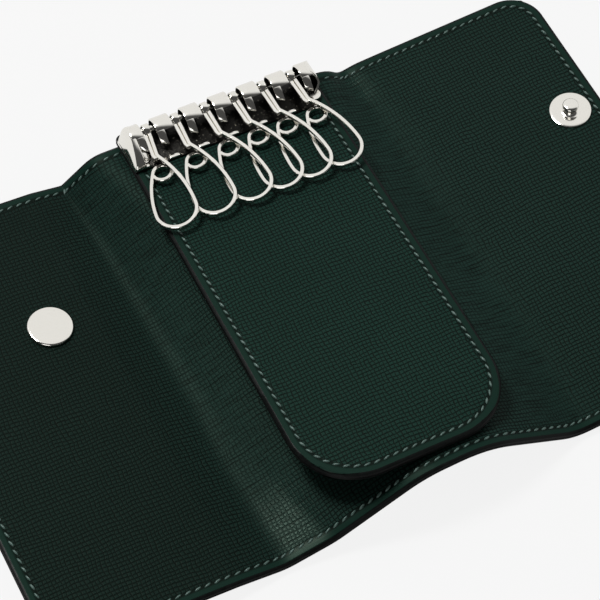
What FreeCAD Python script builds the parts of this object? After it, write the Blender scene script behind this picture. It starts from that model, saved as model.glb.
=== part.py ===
"""Open tri-fold leather key case with a six-hook key bar, in millimetres.

The case lies open, inner face up, with its three panels side by side along X.
The tongue that carries the key bar runs along Y, with its fixed end at +Y.
The origin is under the middle of the object's box, on the surface it lies on.
"""
import FreeCAD, Part
import math
import os
import re

# Driving dimensions: name, value in millimetres, degrees or a count, and what it is

SIZES = [
    ("cover_height", 107.0, "cover from its top edge to its bottom edge"),
    ("outer_thickness", 1.0, "outer leather"),
    ("lining_thickness", 1.0, "lining leather"),
    ("corner_radius", 8.0, "outer corners of the cover"),
    ("fold_spacing", 63.2, "between the two fold lines"),
    ("left_fold_offset", 34.5, "from the tongue's centre line to the left fold line"),
    ("left_reach", 50.6, "left panel from its fold line to its free edge"),
    ("right_reach", 50.8, "right panel from its fold line to its free edge"),
    ("fold_half_width", 12.0, "from a fold line to where its panel lies flat"),
    ("left_spine_margin", 6.5, "from the left fold line to the stiff spine"),
    ("right_spine_margin", 1.6, "from the right fold line to the stiff spine"),
    ("left_tilt_angle", 6.0, "left panel rising outwards on its socket"),
    ("right_tilt_angle", 3.5, "right panel rising outwards on its stud cap"),
    ("left_valley_offset", 3.0, "valley beyond the left fold line"),
    ("left_valley_height", 0.1, "left valley's corner above the surface before rounding"),
    ("right_valley_offset", 4.0, "valley beyond the right fold line"),
    ("right_valley_height", 0.2, "right valley's corner above the surface before rounding"),
    ("valley_radius", 5.0, "rounding of the valleys"),
    ("knee_reach", 2.0, "stretch of a fold that still lies along its panel"),
    ("top_left_rise", 6.3, "spine's left shoulder above the surface at the top edge"),
    ("top_right_rise", 3.7, "spine's right shoulder above the surface at the top edge"),
    ("bottom_left_rise", 12.6, "spine's left shoulder above the surface at the bottom edge"),
    ("bottom_right_rise", 13.2, "spine's right shoulder above the surface at the bottom edge"),
    ("top_left_shoulder", 5.0, "left shoulder in from its fold line at the top edge"),
    ("top_right_shoulder", 1.2, "right shoulder in from its fold line at the top edge"),
    ("bottom_left_shoulder", 31.5, "left shoulder in from its fold line at the bottom edge"),
    ("bottom_right_shoulder", 17.7, "right shoulder in from its fold line at the bottom edge"),
    ("top_shoulder_radius", 4.0, "rounding of the shoulders at the top edge"),
    ("bottom_shoulder_radius", 16.0, "rounding of the shoulders at the bottom edge"),
    ("tongue_margin", 0.4, "tongue past each end of the key bar"),
    ("tongue_length", 103.0, "tongue from its fixed end to its free end"),
    ("tongue_layer", 1.0, "each of the tongue's two leathers"),
    ("tongue_corner_radius", 18.0, "rounding of the tongue's free end"),
    ("tongue_overhang", 1.5, "tongue's fixed end past the cover's top edge"),
    ("tongue_seat_gap", 0.05, "between the tongue and the spine at the key bar"),
    ("ridge_clearance", 0.5, "tongue's plane over the spine's ridge at the bottom edge"),
    ("tongue_back", 4.5, "tongue's fixed end behind the pivot rod"),
    ("tongue_head", 9.0, "clamped stretch of the tongue in front of the pivot rod"),
    ("tongue_bend", 16.0, "stretch of the tongue that bends when it is lifted"),
    ("bar_length", 47.6, "key bar across"),
    ("base_back", 2.8, "bar's base plate behind the rod"),
    ("base_front", 7.9, "bar's base plate in front of the rod"),
    ("base_thickness", 0.6, "bar's base plate"),
    ("rod_height", 3.25, "rod's axis above the tongue"),
    ("rod_radius", 0.75, "pivot rod"),
    ("hood_radius", 2.3, "outside of the rolled hood"),
    ("hood_wall", 0.5, "sheet of the hood"),
    ("end_plate_thickness", 0.7, "bar's end plates"),
    ("slot_width", 2.6, "slots in the hood"),
    ("slot_floor", 0.75, "bottom of the slots above the tongue"),
    ("hook_count", 6, "hooks on the bar"),
    ("hook_end_margin", 6.05, "outer hooks in from the ends of the bar"),
    ("strip_width", 1.0, "hook strip across its flat side"),
    ("strip_thickness", 0.6, "hook strip"),
    ("eye_radius", 1.55, "hook's eye outside"),
    ("eye_width", 1.6, "hook's eye along the rod"),
    ("eye_clearance", 0.05, "hook's eye round the rod, at the radius"),
    ("shank_offset", 0.5, "each shank strand from the hook's centre line"),
    ("shank_length", 8.0, "rod's axis to the hook's throat"),
    ("belly_depth", 15.0, "throat to the widest place of the loop"),
    ("loop_half_width", 4.5, "half the loop's width on the middle of the strip"),
    ("seam_angle", 30.0, "gate's root past the widest place of the loop"),
    ("seam_gap", 0.25, "between the loop and the root of its gate"),
    ("gate_stop", 1.5, "gate's curl below the throat"),
    ("curl_radius", 1.9, "curled tip of the gate"),
    ("curl_sweep_angle", 245.0, "turn of the curled tip"),
    ("gate_drop_angle", 5.84, "gate sloping under the loop"),
    ("hook_roll_angle", 10.0, "hooks lying over like shingles"),
    ("hook_1_yaw_angle", -8.0, "first hook turned aside in its slot"),
    ("hook_2_yaw_angle", -3.0, "second hook turned aside"),
    ("hook_3_yaw_angle", 1.0, "third hook turned aside"),
    ("hook_4_yaw_angle", 2.0, "fourth hook turned aside"),
    ("hook_5_yaw_angle", 2.0, "fifth hook turned aside"),
    ("hook_6_yaw_angle", 3.0, "sixth hook turned aside"),
    ("hook_pitch_angle", 2.66, "hooks sloping down to the tongue"),
    ("rivet_end_margin", 2.8, "rivets in from the ends of the bar"),
    ("rivet_front", 5.2, "rivets in front of the rod"),
    ("rivet_head_radius", 1.6, "rivet head"),
    ("rivet_head_height", 0.5, "rivet head"),
    ("rivet_radius", 1.0, "rivet shank"),
    ("rivet_clearance", 0.05, "round the rivet shank, at the radius"),
    ("washer_radius", 2.4, "washer under the lining"),
    ("washer_thickness", 0.4, "washer under the lining"),
    ("washer_clearance", 0.1, "round the washer in the outer leather"),
    ("snap_from_left_fold", 20.2, "socket from the left fold line"),
    ("snap_height", 18.5, "snap above the middle of the cover"),
    ("cap_radius", 5.0, "both snap caps"),
    ("socket_cap_thickness", 0.9, "flat cap on the inner face"),
    ("cap_bevel", 0.25, "bevel round the caps"),
    ("post_radius", 1.2, "posts that join the snap's halves through the leather"),
    ("post_clearance", 0.1, "round the posts, at the radius"),
    ("socket_radius", 4.6, "socket"),
    ("socket_height", 2.6, "socket"),
    ("socket_floor", 0.5, "socket's plate against the leather"),
    ("socket_bore_radius", 2.05, "mouth of the socket"),
    ("spring_groove_radius", 2.65, "groove of the socket's ring spring"),
    ("spring_groove_height", 0.8, "groove of the socket's ring spring"),
    ("spring_wire_radius", 0.22, "ring spring's wire"),
    ("spring_ring_radius", 2.2, "ring spring to the middle of its wire"),
    ("stud_flange_radius", 4.75, "stud's flange"),
    ("stud_flange_thickness", 0.6, "stud's flange"),
    ("stud_waist_radius", 1.5, "stud's waist"),
    ("stud_head_radius", 1.85, "stud's head"),
    ("stud_height", 2.2, "stud above its flange"),
    ("stud_waist_height", 1.0, "stud's waist above its flange"),
    ("stud_bevel", 0.35, "rounding of the stud's head"),
    ("stud_cap_height", 2.4, "domed cap under the right panel"),
    ("stud_cap_dome", 1.2, "domed part of that cap"),
    ("stud_cap_foot_radius", 3.4, "flat on which that cap rests"),
    ("closing_clearance", 0.6, "over the tongue and its key bar when the left panel is shut"),
    ("snap_clearance", 0.15, "between the stud's flange and the socket when shut"),
    ("overrun", 3.0, "how far cutting tools reach past what they cut"),
]

document = FreeCAD.newDocument("KeyCase")
sheet = document.addObject("Spreadsheet::Sheet", "Sizes")
for row, (name, value, meaning) in enumerate(SIZES, start=1):
    sheet.set(f"A{row}", meaning)
    sheet.set(f"B{row}", str(value))
    sheet.setAlias(f"B{row}", name)
document.recompute()

NAMES = {name for name, value, meaning in SIZES}
Vector = FreeCAD.Vector
X_AXIS = Vector(1, 0, 0)
Y_AXIS = Vector(0, 1, 0)
Z_AXIS = Vector(0, 0, 1)


def size(name):
    """A driving dimension as a number."""
    return float(sheet.get(name))


def bind(thing, **formulas):
    """Tie an object's properties to the sheet by formulas on its names."""
    def link(word):
        return "Sizes." + word.group() if word.group() in NAMES else word.group()

    for prop, formula in formulas.items():
        thing.setExpression(prop, re.sub(r"[a-z_]+", link, formula))


# Places worked out from the driving dimensions

cover_thickness = size("outer_thickness") + size("lining_thickness")
tongue_thickness = 2 * size("tongue_layer")
tongue_width = size("bar_length") + 2 * size("tongue_margin")
rivet_spread = size("bar_length") / 2 - size("rivet_end_margin")
hook_pitch = (size("bar_length") - 2 * size("hook_end_margin")) / (size("hook_count") - 1)
left_lean = math.radians(size("left_tilt_angle"))
right_lean = math.radians(size("right_tilt_angle"))
top_shoulder_span = size("fold_spacing") - size("top_left_shoulder") - size("top_right_shoulder")
roll_slope = (size("top_left_rise") - size("top_right_rise")) / top_shoulder_span
tongue_rise = (size("top_left_rise")
               - roll_slope * (size("left_fold_offset") - size("top_left_shoulder")))
rise_slope = (size("bottom_right_rise") + size("ridge_clearance") - tongue_rise) / size("cover_height")
tongue_slope = math.degrees(math.atan(rise_slope))
tongue_roll = math.degrees(math.atan(roll_slope))

# The cover's top edge is set so that the object's box is centred on the origin
cover_y = -size("tongue_overhang") / 2
cover_top = cover_y + size("cover_height") / 2
cover_bottom = cover_y - size("cover_height") / 2
rod_y = cover_top + size("tongue_overhang") - size("tongue_back") * math.cos(math.radians(tongue_slope))
tongue_top_z = (tongue_rise + rise_slope * (cover_top - rod_y) + cover_thickness
                + size("tongue_seat_gap") + tongue_thickness)

# Shut, the left panel lies level over the tongue and its bar, and the right panel over the snap
bar_height = size("rod_height") + size("hood_radius")
tongue_lift = rise_slope * (size("tongue_length") - size("tongue_back"))
left_shut_z = (tongue_top_z + max(bar_height, tongue_lift) + roll_slope * tongue_width / 2
               + size("closing_clearance"))
right_shut_z = (left_shut_z + cover_thickness + size("socket_height")
                + size("stud_flange_thickness") + size("snap_clearance"))

# Open, the left panel leans on the rim of its socket and the right panel on the foot of its stud cap
socket_rim = size("snap_from_left_fold") - size("socket_radius") + size("cap_bevel")
stud_rim = size("fold_spacing") - size("snap_from_left_fold") - size("stud_cap_foot_radius")
left_fold_radius = ((left_shut_z + socket_rim * math.sin(left_lean)
                     - (cover_thickness + size("socket_height")) * math.cos(left_lean))
                    / (1 + math.cos(left_lean)))
right_fold_radius = ((right_shut_z + stud_rim * math.sin(right_lean)
                      - (cover_thickness + size("stud_cap_height")) * math.cos(right_lean))
                     / (1 + math.cos(right_lean)))
left_fold_z = left_shut_z - left_fold_radius
right_fold_z = right_shut_z - right_fold_radius
left_face_z = left_fold_z - left_fold_radius
right_face_z = right_fold_z - right_fold_radius

# The tongue's centre line stands off the origin by half the difference of the two sides
left_extent = (size("left_fold_offset") + size("left_reach") * math.cos(left_lean)
               + (left_fold_radius + cover_thickness) * math.sin(left_lean))
right_extent = (size("fold_spacing") - size("left_fold_offset") + size("right_reach") * math.cos(right_lean)
                + (right_fold_radius + cover_thickness) * math.sin(right_lean))
tongue_x = (left_extent - right_extent) / 2
left_fold_x = tongue_x - size("left_fold_offset")
right_fold_x = left_fold_x + size("fold_spacing")
snap_y = cover_y + size("snap_height")
left_snap_x = left_fold_x - size("snap_from_left_fold")
right_snap_x = right_fold_x + size("fold_spacing") - size("snap_from_left_fold")

left_tilt = FreeCAD.Placement(Vector(0, 0, 0), FreeCAD.Rotation(Y_AXIS, size("left_tilt_angle")),
                              Vector(left_fold_x, 0, left_fold_z))
right_tilt = FreeCAD.Placement(Vector(0, 0, 0), FreeCAD.Rotation(Y_AXIS, -size("right_tilt_angle")),
                               Vector(right_fold_x, 0, right_fold_z))
level = FreeCAD.Placement()
tongue_turn = FreeCAD.Rotation(Y_AXIS, tongue_roll).multiply(FreeCAD.Rotation(X_AXIS, -tongue_slope))
on_tongue = FreeCAD.Placement(Vector(tongue_x, rod_y, tongue_top_z), tongue_turn)

nodes = []


def keep(thing, label, placement=level):
    """Name a finished sub-part and set it in its place."""
    thing.Label = label
    thing.Placement = placement.multiply(thing.Placement)
    nodes.append(thing)
    return thing


def box(base, **formulas):
    """A bound block with its lowest corner at base."""
    block = document.addObject("Part::Box", "Block")
    bind(block, **formulas)
    block.Placement.Base = base
    return block


def cylinder(base, axis=Z_AXIS, **formulas):
    """A bound cylinder that starts at base and runs along axis."""
    drum = document.addObject("Part::Cylinder", "Drum")
    bind(drum, **formulas)
    drum.Placement = FreeCAD.Placement(base, FreeCAD.Rotation(Z_AXIS, axis))
    return drum


def cone(base, **formulas):
    """A bound cone that stands on base along Z."""
    taper = document.addObject("Part::Cone", "Taper")
    bind(taper, **formulas)
    taper.Placement.Base = base
    return taper


def fuse(*things):
    union = document.addObject("Part::MultiFuse", "Union")
    union.Shapes = list(things)
    document.recompute()
    return union


def cut(base, *tools):
    difference = document.addObject("Part::Cut", "Difference")
    difference.Base = base
    difference.Tool = tools[0] if len(tools) == 1 else fuse(*tools)
    document.recompute()
    return difference


def rounded(base, radius, chosen):
    """Round those edges of a block that chosen picks."""
    document.recompute()
    fillet = document.addObject("Part::Fillet", "Rounding")
    fillet.Base = base
    fillet.Edges = [(number, radius, radius) for number, edge in enumerate(base.Shape.Edges, start=1)
                    if chosen(edge)]
    document.recompute()
    return fillet


def upright_at(test):
    """Pick the upright edges whose middle passes the test."""
    def chosen(edge):
        first, last = edge.Vertexes[0].Point, edge.Vertexes[-1].Point
        upright = abs(first.z - last.z) > abs(first.x - last.x) + abs(first.y - last.y)
        return upright and test(edge.CenterOfMass)

    return chosen


def bevelled(base, radius, chosen):
    """Bevel those edges of a turned piece that chosen picks."""
    document.recompute()
    chamfer = document.addObject("Part::Chamfer", "Bevel")
    chamfer.Base = base
    chamfer.Edges = [(number, radius, radius) for number, edge in enumerate(base.Shape.Edges, start=1)
                     if chosen(edge)]
    document.recompute()
    return chamfer


def ring_at(height, radius):
    """Pick the round edge of that radius at that height."""
    def chosen(edge):
        if not isinstance(edge.Curve, Part.Circle):
            return False
        level_edge = abs(edge.CenterOfMass.z - height) < Part.Precision.confusion() * 1000
        return level_edge and abs(edge.Curve.Radius - radius) < Part.Precision.confusion() * 1000

    return chosen


def solid_node(label, shape, placement=level):
    """A sub-part whose bent form has no primitive."""
    thing = document.addObject("Part::Feature", "Form")
    thing.Shape = shape
    return keep(thing, label, placement)


# Cover panels: two leathers each, rounded at the free corners, holed for the snap's post

def cover_panel(label, x_start, z_start, thickness, reach, free_side, snap_x, placement):
    width = f"{reach} - fold_half_width"
    blank = box(Vector(x_start, cover_bottom, z_start),
                Length=width, Width="cover_height", Height=thickness)
    free_x = x_start if free_side < 0 else x_start + size(reach) - size("fold_half_width")
    near_free = upright_at(lambda middle: abs(middle.x - free_x) < size("corner_radius"))
    panel = rounded(blank, size("corner_radius"), near_free)
    hole = cylinder(Vector(snap_x, snap_y, z_start - size("overrun")),
                    Radius="post_radius + post_clearance", Height=f"{thickness} + 2 * overrun")
    keep(cut(panel, hole), label, placement)


left_start = left_fold_x - size("left_reach")
right_start = right_fold_x + size("fold_half_width")
cover_panel("left_cover_leather", left_start, left_face_z - cover_thickness, "outer_thickness",
            "left_reach", -1, left_snap_x, left_tilt)
cover_panel("left_cover_lining", left_start, left_face_z - size("lining_thickness"), "lining_thickness",
            "left_reach", -1, left_snap_x, left_tilt)
cover_panel("right_cover_leather", right_start, right_face_z - cover_thickness, "outer_thickness",
            "right_reach", 1, right_snap_x, right_tilt)
cover_panel("right_cover_lining", right_start, right_face_z - size("lining_thickness"), "lining_thickness",
            "right_reach", 1, right_snap_x, right_tilt)


# Spine and folds: both leathers rise from the left valley over the spine and fall to the right valley

def bent_path(corners, radii, shift, y_place):
    """Edges of a line with rounded corners, moved sideways by shift, in the plane Y = y_place."""
    starts = []
    ends = []
    middles = []
    last = len(corners) - 1
    for number, (x_place, z_place) in enumerate(corners):
        before = corners[max(number - 1, 0)]
        after = corners[min(number + 1, last)]
        turn_in = math.atan2(z_place - before[1], x_place - before[0])
        turn_out = math.atan2(after[1] - z_place, after[0] - x_place)
        if number in (0, last):
            turn = turn_out if number == 0 else turn_in
            point = (x_place - shift * math.sin(turn), z_place + shift * math.cos(turn))
            starts.append(point)
            ends.append(point)
            middles.append(None)
            continue
        bend = turn_out - turn_in
        side = math.copysign(1, bend)
        radius = radii[number - 1]
        reach = radius * math.tan(abs(bend) / 2)
        centre = (x_place - reach * math.cos(turn_in) - side * radius * math.sin(turn_in),
                  z_place - reach * math.sin(turn_in) + side * radius * math.cos(turn_in))
        arm = radius - side * shift

        def on_arc(turn):
            return (centre[0] + side * arm * math.sin(turn), centre[1] - side * arm * math.cos(turn))

        starts.append(on_arc(turn_in))
        middles.append(on_arc((turn_in + turn_out) / 2))
        ends.append(on_arc(turn_out))

    def place(point):
        return Vector(point[0], y_place, point[1])

    edges = []
    for number in range(last):
        edges.append(Part.LineSegment(place(ends[number]), place(starts[number + 1])).toShape())
        if number + 1 < last:
            arc = Part.Arc(place(starts[number + 1]), place(middles[number + 1]), place(ends[number + 1]))
            edges.append(arc.toShape())
    return edges, place(starts[0]), place(ends[last])


def section(corners, radii, lower, upper, y_place):
    """Closed outline of one leather between two distances from the outer face."""
    below, below_start, below_end = bent_path(corners, radii, lower, y_place)
    above, above_start, above_end = bent_path(corners, radii, upper, y_place)
    right_end = Part.LineSegment(below_end, above_end).toShape()
    left_end = Part.LineSegment(above_start, below_start).toShape()
    return Part.Wire(below + [right_end] + above[::-1] + [left_end])


# The sheet's outer face leaves each panel along its lean, then dips to the valley
def on_outer_face(placement, fold_x, face_z, along):
    """A place on a panel's outer face, along from its fold line, as X and Z."""
    place = placement.multVec(Vector(fold_x + along, 0, face_z - cover_thickness))
    return (place.x, place.z)


flat_at = size("fold_half_width")
knee_at = flat_at - size("knee_reach")
left_end = on_outer_face(left_tilt, left_fold_x, left_face_z, -flat_at)
left_knee = on_outer_face(left_tilt, left_fold_x, left_face_z, -knee_at)
left_valley = (left_fold_x - size("left_valley_offset"), size("left_valley_height"))
right_valley = (right_fold_x + size("right_valley_offset"), size("right_valley_height"))
right_knee = on_outer_face(right_tilt, right_fold_x, right_face_z, knee_at)
right_end = on_outer_face(right_tilt, right_fold_x, right_face_z, flat_at)


def sheet_corners(left_shoulder, left_rise, right_shoulder, right_rise):
    return [left_end, left_knee, left_valley,
            (left_fold_x + size(left_shoulder), size(left_rise)),
            (right_fold_x - size(right_shoulder), size(right_rise)),
            right_valley, right_knee, right_end]


def sheet_radii(shoulder):
    valley = size("valley_radius")
    return [valley, valley, size(shoulder), size(shoulder), valley, valley]


top_corners = sheet_corners("top_left_shoulder", "top_left_rise", "top_right_shoulder", "top_right_rise")
bottom_corners = sheet_corners("bottom_left_shoulder", "bottom_left_rise",
                               "bottom_right_shoulder", "bottom_right_rise")


def draped_leather(lower, upper):
    """One leather of the sheet between the two panels, lofted from the top edge to the bottom edge."""
    wires = [section(top_corners, sheet_radii("top_shoulder_radius"), lower, upper, cover_top),
             section(bottom_corners, sheet_radii("bottom_shoulder_radius"), lower, upper, cover_bottom)]
    return Part.makeLoft(wires, True, True)


def slab(x_low, x_high):
    """A block over the full height of the cover between two places along X."""
    tall = right_shut_z + size("overrun")
    return Part.makeBox(x_high - x_low, size("cover_height") + 2 * size("overrun"), tall,
                        Vector(x_low, cover_bottom - size("overrun"), -size("overrun")))


def rivet_place(side, depth):
    """A place under a rivet, depth below the tongue's top face."""
    return on_tongue.multVec(Vector(side * rivet_spread, -size("rivet_front"), -depth))


def drill(shape, radius, top_depth, bottom_depth):
    """Drill a shape at both rivets between two depths below the tongue's top face."""
    down = on_tongue.Rotation.multVec(-Z_AXIS)
    for side in (-1, 1):
        hole = Part.makeCylinder(radius, bottom_depth - top_depth, rivet_place(side, top_depth), down)
        shape = shape.cut(hole)
    return shape


spine_left = left_fold_x + size("left_spine_margin")
spine_right = right_fold_x - size("right_spine_margin")
rivet_hole = size("rivet_radius") + size("rivet_clearance")
washer_hole = size("washer_radius") + size("washer_clearance")
lining_depth = tongue_thickness + size("tongue_seat_gap") + size("lining_thickness")
pocket_depth = lining_depth + size("washer_thickness") + size("washer_clearance")
outer_leather = drill(draped_leather(0, size("outer_thickness")), washer_hole, tongue_thickness, pocket_depth)
lining_leather = drill(draped_leather(size("outer_thickness"), cover_thickness),
                       rivet_hole, -size("overrun"), lining_depth + size("overrun"))
lining_leather = drill(lining_leather, washer_hole, lining_depth, lining_depth + size("overrun"))
spine_slab = slab(spine_left, spine_right)
solid_node("spine_leather", outer_leather.common(spine_slab))
solid_node("spine_lining", lining_leather.common(spine_slab))
left_slab = slab(left_fold_x - size("left_reach"), spine_left)
right_slab = slab(spine_right, right_fold_x + size("right_reach"))
solid_node("left_fold_leather", outer_leather.common(left_slab))
solid_node("left_fold_lining", lining_leather.common(left_slab))
solid_node("right_fold_leather", outer_leather.common(right_slab))
solid_node("right_fold_lining", lining_leather.common(right_slab))


# Tongue: two leathers, clamped under the bar, then a bending stretch, then the free flap

def tongue_piece(label, y_front, length, layer, rounded_end, drilled):
    """One leather of one stretch of the tongue, from y_front backwards."""
    z_low = (layer - 2) * size("tongue_layer")
    corner = Vector(-tongue_width / 2, y_front, z_low)
    piece = box(corner, Length="bar_length + 2 * tongue_margin", Width=length, Height="tongue_layer")
    if rounded_end:
        at_end = upright_at(lambda middle: abs(middle.y - y_front) < size("tongue_corner_radius"))
        piece = rounded(piece, size("tongue_corner_radius"), at_end)
    if drilled:
        holes = [cylinder(Vector(side * rivet_spread, -size("rivet_front"), z_low - size("overrun")),
                          Radius="rivet_radius + rivet_clearance", Height="tongue_layer + 2 * overrun")
                 for side in (-1, 1)]
        piece = cut(piece, *holes)
    document.recompute()
    keep(piece, label, on_tongue)


bend_front = -size("tongue_head") - size("tongue_bend")
flap_front = size("tongue_back") - size("tongue_length")
for layer, leather in ((0, "lining"), (1, "leather")):
    tongue_piece(f"tongue_head_{leather}", -size("tongue_head"), "tongue_back + tongue_head",
                 layer, False, True)
    tongue_piece(f"tongue_bend_{leather}", bend_front, "tongue_bend", layer, False, False)
    tongue_piece(f"tongue_flap_{leather}", flap_front,
                 "tongue_length - tongue_back - tongue_head - tongue_bend", layer, True, False)

# Key bar: base plate, rolled hood with a slot for each hook, and an end plate at each end

half_bar = size("bar_length") / 2
hook_places = [(number - (size("hook_count") - 1) / 2) * hook_pitch
               for number in range(int(size("hook_count")))]


def slot_tool(place):
    return box(Vector(place - size("slot_width") / 2, -size("hood_radius") - size("overrun"), size("slot_floor")),
               Length="slot_width", Width="2 * hood_radius + 2 * overrun",
               Height="rod_height + hood_radius + overrun")


def end_plate(x_start):
    """A round cheek on the hood with a foot that tapers to the base's front lip."""
    cheek = cylinder(Vector(x_start, 0, size("rod_height")), X_AXIS,
                     Radius="hood_radius", Height="end_plate_thickness")
    corners = [(size("hood_radius"), 0), (size("hood_radius"), size("rod_height")),
               (-size("hood_radius"), size("rod_height")),
               (-size("base_front"), 2 * size("base_thickness")), (-size("base_front"), 0)]
    outline = document.addObject("Part::Polygon", "Outline")
    outline.Nodes = [Vector(x_start, y_place, z_place) for y_place, z_place in corners]
    outline.Close = True
    foot = document.addObject("Part::Extrusion", "Foot")
    foot.Base = outline
    foot.DirMode = "Custom"
    foot.Dir = X_AXIS
    foot.Solid = True
    bind(foot, LengthFwd="end_plate_thickness")
    return fuse(cheek, foot)


base_plate = box(Vector(-half_bar, -size("base_front"), 0), Length="bar_length",
                 Width="base_front + base_back", Height="base_thickness")
back_wall = box(Vector(-half_bar, size("hood_radius") - size("hood_wall"), 0), Length="bar_length",
                Width="hood_wall", Height="rod_height")
rod_line = Vector(-half_bar, 0, size("rod_height"))
hood_bore = cylinder(rod_line, X_AXIS, Radius="hood_radius - hood_wall", Height="bar_length")
hood = cut(cylinder(rod_line, X_AXIS, Radius="hood_radius", Height="bar_length"), hood_bore)
slotted = cut(fuse(hood, back_wall), *[slot_tool(place) for place in hook_places])
rod_bore = cylinder(rod_line - X_AXIS * size("overrun"), X_AXIS,
                    Radius="rod_radius", Height="bar_length + 2 * overrun")
rivet_bores = [cylinder(Vector(side * rivet_spread, -size("rivet_front"), -size("overrun")),
                        Radius="rivet_radius + rivet_clearance", Height="base_thickness + 2 * overrun")
               for side in (-1, 1)]
bar_parts = fuse(base_plate, slotted, end_plate(-half_bar), end_plate(half_bar - size("end_plate_thickness")))
keep(cut(bar_parts, rod_bore, *rivet_bores), "key_bar", on_tongue)

rod = cylinder(rod_line, X_AXIS, Radius="rod_radius", Height="bar_length")
keep(rod, "pivot_rod", on_tongue)

# Rivets clamp the bar, the tongue and the lining on washers that lie in the outer leather

rivets = []
washers = []
rivet_length = "base_thickness + 2 * tongue_layer + tongue_seat_gap + lining_thickness + washer_thickness"
washer_top = -lining_depth
rivet_foot = washer_top - size("washer_thickness")
for side in (-1, 1):
    spot = Vector(side * rivet_spread, -size("rivet_front"), 0)
    head = cylinder(spot + Z_AXIS * size("base_thickness"), Radius="rivet_head_radius", Height="rivet_head_height")
    shank = cylinder(spot + Z_AXIS * rivet_foot, Radius="rivet_radius", Height=rivet_length)
    rivets.append(fuse(head, shank))
    disc = cylinder(spot + Z_AXIS * rivet_foot, Radius="washer_radius", Height="washer_thickness")
    eye = cylinder(spot + Z_AXIS * (rivet_foot - size("overrun")), Radius="rivet_radius",
                   Height="washer_thickness + 2 * overrun")
    washers.append(cut(disc, eye))


def group(label, members, placement):
    """Identical fasteners in one node."""
    bundle = document.addObject("Part::Compound", "Group")
    bundle.Links = members
    document.recompute()
    keep(bundle, label, placement)


group("bar_rivets", rivets, on_tongue)
group("rivet_washers", washers, on_tongue)

# Hooks: one bent strip each, with an eye on the rod, a twin shank and a pear-shaped loop

side_span = size("loop_half_width") - size("shank_offset")
side_radius = (side_span ** 2 + size("belly_depth") ** 2) / (2 * side_span)
belly_y = -size("shank_length") - size("belly_depth")
right_side_centre = Vector(size("loop_half_width") - side_radius, belly_y, 0)
left_side_centre = Vector(-right_side_centre.x, belly_y, 0)
bottom_centre = Vector(0, belly_y, 0)


def strip_arc(centre, radius, first, last):
    """A stretch of strip bent flatwise round a centre, between two angles in radians."""
    def on_arc(arm, angle):
        return centre + Vector(arm * math.cos(angle), arm * math.sin(angle), -size("strip_width") / 2)

    outside = radius + size("strip_thickness") / 2
    inside = radius - size("strip_thickness") / 2
    middle = (first + last) / 2
    outline = Part.Wire([
        Part.Arc(on_arc(outside, first), on_arc(outside, middle), on_arc(outside, last)).toShape(),
        Part.LineSegment(on_arc(outside, last), on_arc(inside, last)).toShape(),
        Part.Arc(on_arc(inside, last), on_arc(inside, middle), on_arc(inside, first)).toShape(),
        Part.LineSegment(on_arc(inside, first), on_arc(outside, first)).toShape()])
    return Part.Face(outline).extrude(Vector(0, 0, size("strip_width")))


def laid(shape, yaw):
    """Lay a strip form over on its right neighbour and turn it aside in its slot."""
    turned = shape.copy()
    turned.rotate(Vector(0, 0, 0), Y_AXIS, -size("hook_roll_angle"))
    turned.rotate(Vector(0, 0, 0), Z_AXIS, yaw)
    return turned


seam = math.pi + math.radians(size("seam_angle"))
seam_point = bottom_centre + Vector(math.cos(seam), math.sin(seam), 0) * size("loop_half_width")
seam_turn = size("seam_gap") / size("loop_half_width")
throat_angle = math.asin(size("belly_depth") / side_radius)


def hook_form(yaw):
    """Eye, twin shank, right side and bottom of the loop."""
    bore = size("rod_radius") + size("eye_clearance")
    eye_start = -X_AXIS * (size("eye_width") / 2)
    eye = Part.makeCylinder(size("eye_radius"), size("eye_width"), eye_start, X_AXIS)
    strands = []
    for side in (-1, 1):
        corner = Vector(side * size("shank_offset") - size("strip_thickness") / 2, -size("shank_length"),
                        -size("strip_width") / 2)
        strands.append(Part.makeBox(size("strip_thickness"), size("shank_length"), size("strip_width"), corner))
    throat = Part.makeBox(2 * size("shank_offset") + size("strip_thickness"), size("strip_thickness"),
                          size("strip_width"),
                          Vector(-size("shank_offset") - size("strip_thickness") / 2, -size("shank_length"),
                                 -size("strip_width") / 2))
    right_side = strip_arc(right_side_centre, side_radius, 0, throat_angle)
    bottom = strip_arc(bottom_centre, size("loop_half_width"), seam - 2 * math.pi + seam_turn, 0)
    strip = strands[0].multiFuse([strands[1], throat, right_side, bottom])
    whole = eye.fuse(laid(strip, yaw))
    rod_space = Part.makeCylinder(bore, 2 * size("eye_width"), 2 * eye_start, X_AXIS)
    return whole.cut(rod_space).removeSplitter()


def gate_form(yaw):
    """Left side of the loop, which springs in, with its curled tip under the throat."""
    stop_drop = size("belly_depth") - size("gate_stop")
    stop = math.pi - math.asin(stop_drop / side_radius)
    root = strip_arc(bottom_centre, size("loop_half_width"), math.pi, seam - seam_turn)
    left_side = strip_arc(left_side_centre, side_radius, stop, math.pi)
    inwards = Vector(-math.cos(stop), -math.sin(stop), 0)
    tip = left_side_centre - inwards * side_radius
    curl_centre = tip + inwards * size("curl_radius")
    curl_end = stop - math.radians(size("curl_sweep_angle"))
    curl = strip_arc(curl_centre, size("curl_radius"), curl_end, stop)
    strip = root.multiFuse([left_side, curl])
    strip.rotate(seam_point, X_AXIS, -size("gate_drop_angle"))
    return laid(strip, yaw).removeSplitter()


for number, place in enumerate(hook_places, start=1):
    lying = FreeCAD.Placement(Vector(place, 0, size("rod_height")),
                              FreeCAD.Rotation(X_AXIS, size("hook_pitch_angle")))
    yaw = size(f"hook_{number}_yaw_angle")
    solid_node(f"hook_{number}", hook_form(yaw), on_tongue.multiply(lying))
    solid_node(f"gate_{number}", gate_form(yaw), on_tongue.multiply(lying))

# Snap: cap and socket clamp the left panel, stud and domed cap clamp the right panel

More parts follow.
